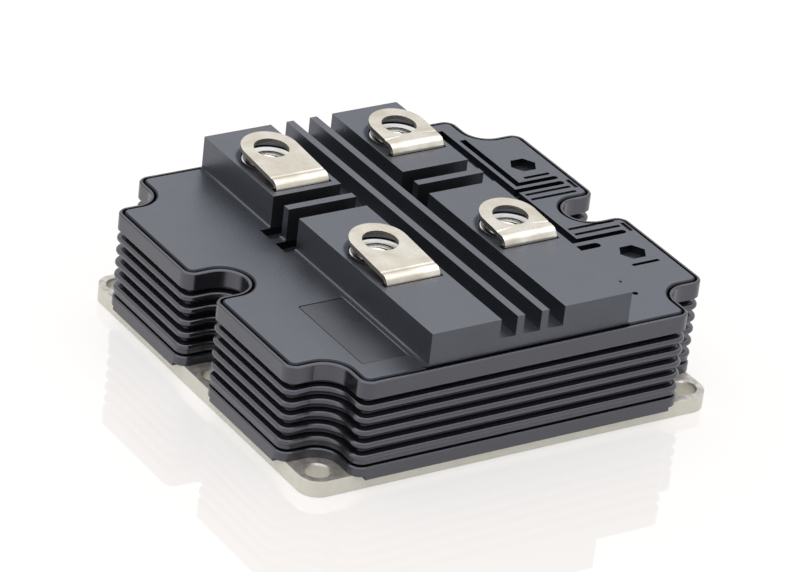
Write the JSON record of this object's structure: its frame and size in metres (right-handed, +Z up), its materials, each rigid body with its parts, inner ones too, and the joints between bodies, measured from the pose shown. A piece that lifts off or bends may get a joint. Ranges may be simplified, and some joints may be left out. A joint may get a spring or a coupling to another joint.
{
  "type": "power diode module",
  "caption": "Flat power diode module with a metal base plate, a finned insulating housing, screw notches and raised bolted terminals on its lid.",
  "frame": {"origin": "middle of the base plate's underside", "axes": "+X along the longer side, +Y towards the free ends of the terminals, +Z up from the base plate"},
  "size_m": [0.14, 0.13, 0.0499],
  "materials": {
    "base_metal": "satin nickel plating",
    "housing_plastic": "matte, finely grained",
    "lid_plastic": "matte, finely grained",
    "terminal_metal": "satin nickel plating over copper",
    "nut_metal": "bright plating",
    "copper": "bare",
    "ceramic": "fired, matte",
    "silicon": "polished",
    "wire_metal": "drawn",
    "gel": "clear, soft"
  },
  "bodies": {
    "root": {"base_plate": "base_metal", "housing_frame": "housing_plastic", "lid": "lid_plastic", "cathode_terminal_back": "terminal_metal", "anode_terminal_back": "terminal_metal", "cathode_terminal_front": "terminal_metal", "anode_terminal_front": "terminal_metal", "nut_back_left": "nut_metal", "nut_back_right": "nut_metal", "nut_front_left": "nut_metal", "nut_front_right": "nut_metal", "back_copper_back_left": "copper", "back_copper_back_right": "copper", "back_copper_front_left": "copper", "back_copper_front_right": "copper", "ceramic_back_left": "ceramic", "ceramic_back_right": "ceramic", "ceramic_front_left": "ceramic", "ceramic_front_right": "ceramic", "cathode_copper_back_left": "copper", "cathode_copper_back_right": "copper", "cathode_copper_front_left": "copper", "cathode_copper_front_right": "copper", "anode_track_back_left": "copper", "anode_track_back_right": "copper", "anode_track_front_left": "copper", "anode_track_front_right": "copper", "chips_back_left": "silicon", "chips_back_right": "silicon", "chips_front_left": "silicon", "chips_front_right": "silicon", "bond_wires_back_left": "wire_metal", "bond_wires_back_right": "wire_metal", "bond_wires_front_left": "wire_metal", "bond_wires_front_right": "wire_metal", "silicone_gel": "gel"}
  },
  "joints": []
}
